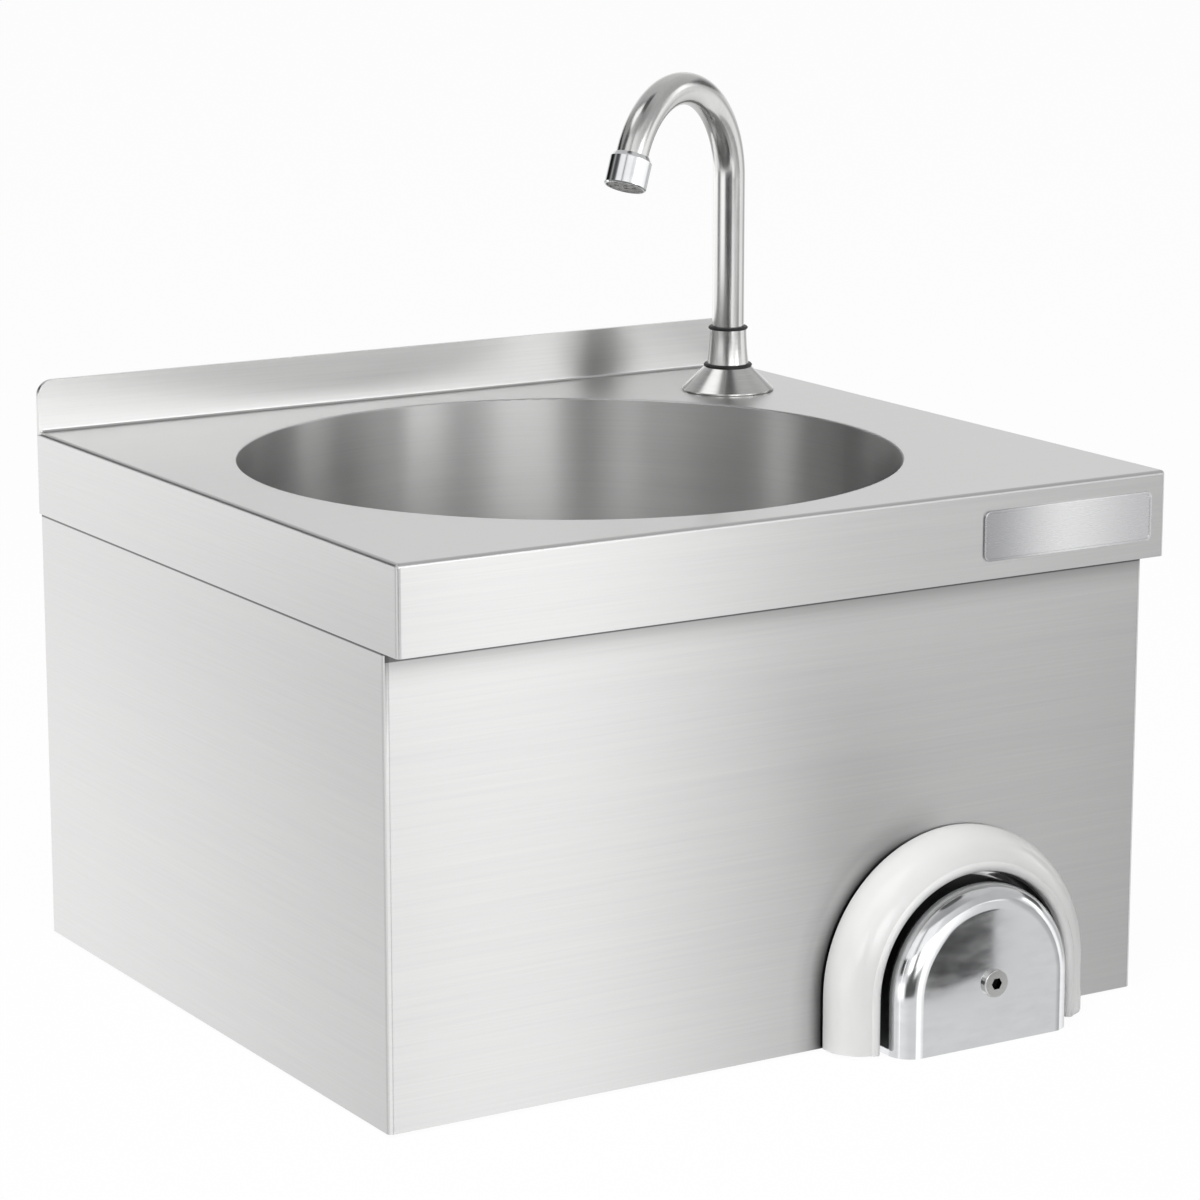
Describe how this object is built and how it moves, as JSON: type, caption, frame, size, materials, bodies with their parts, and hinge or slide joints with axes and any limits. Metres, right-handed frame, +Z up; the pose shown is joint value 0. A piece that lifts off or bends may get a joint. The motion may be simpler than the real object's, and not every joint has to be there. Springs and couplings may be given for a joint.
{
  "type": "knee-operated hand wash sink",
  "caption": "Wall-hung stainless steel hand wash sink with a round bowl, swan-neck spout and knee-operated push valve in the front panel.",
  "frame": {"origin": "on the wall face, at the middle of the sink's width, level with the top of the deck", "axes": "+X to the right along the wall seen from the front, +Y into the wall, +Z up"},
  "size_m": [0.4, 0.381, 0.4154],
  "materials": {
    "brushed_stainless": "brushed, grain along the width",
    "satin_stainless": "satin turned",
    "polished_chrome": "mirror polished",
    "brass": "machined",
    "black_rubber": "moulded",
    "white_gloss": "smooth gloss",
    "white_plastic": "moulded",
    "spring_steel": "drawn wire"
  },
  "bodies": {
    "basin": {"worktop": "brushed_stainless", "bowl": "brushed_stainless", "casing": "brushed_stainless", "wall_rail": "brushed_stainless", "lower_wall_brace": "brushed_stainless", "waste_strainer": "satin_stainless", "waste_upper_gasket": "black_rubber", "waste_lower_gasket": "black_rubber", "waste_body": "white_plastic", "waste_screw": "satin_stainless", "waste_union_nut": "white_plastic", "waste_tailpiece": "white_plastic", "tap_base": "satin_stainless", "lower_o_ring": "black_rubber", "tap_collar": "satin_stainless", "upper_o_ring": "black_rubber", "tap_shank": "brass", "tap_rubber_washer": "black_rubber", "tap_steel_washer": "satin_stainless", "tap_lock_nut": "brass", "knee_surround": "white_gloss", "surround_gasket": "black_rubber", "return_spring": "spring_steel", "knee_bracket": "brushed_stainless", "valve_lock_nut": "brass", "valve_washer": "white_plastic", "valve_body": "brass", "spindle_seal": "black_rubber", "manifold_plug": "brass", "hot_inlet": "brass", "cold_inlet": "brass", "riser_pipe": "satin_stainless", "riser_top_nut": "brass", "riser_bottom_nut": "brass"},
    "spout": {"spout_tube": "satin_stainless", "aerator_housing": "polished_chrome", "aerator_seal": "black_rubber", "aerator_insert": "white_plastic"},
    "push": {"push_cap": "polished_chrome", "push_screw": "satin_stainless", "push_spindle": "satin_stainless"}
  },
  "joints": [
    {"name": "spout_swivel", "type": "hinge", "parent": "basin", "child": "spout", "pos_m": [0.151, -0.0685, 0], "axis": [0, 0, 1], "range_deg": [-55, 185]},
    {"name": "knee_push", "type": "slide", "parent": "basin", "child": "push", "axis": [0, 1, 0], "range_m": [0, 0.01], "stiffness_N_per_m": 1500, "springref_m": -0.008, "deforming": ["return_spring"]}
  ]
}
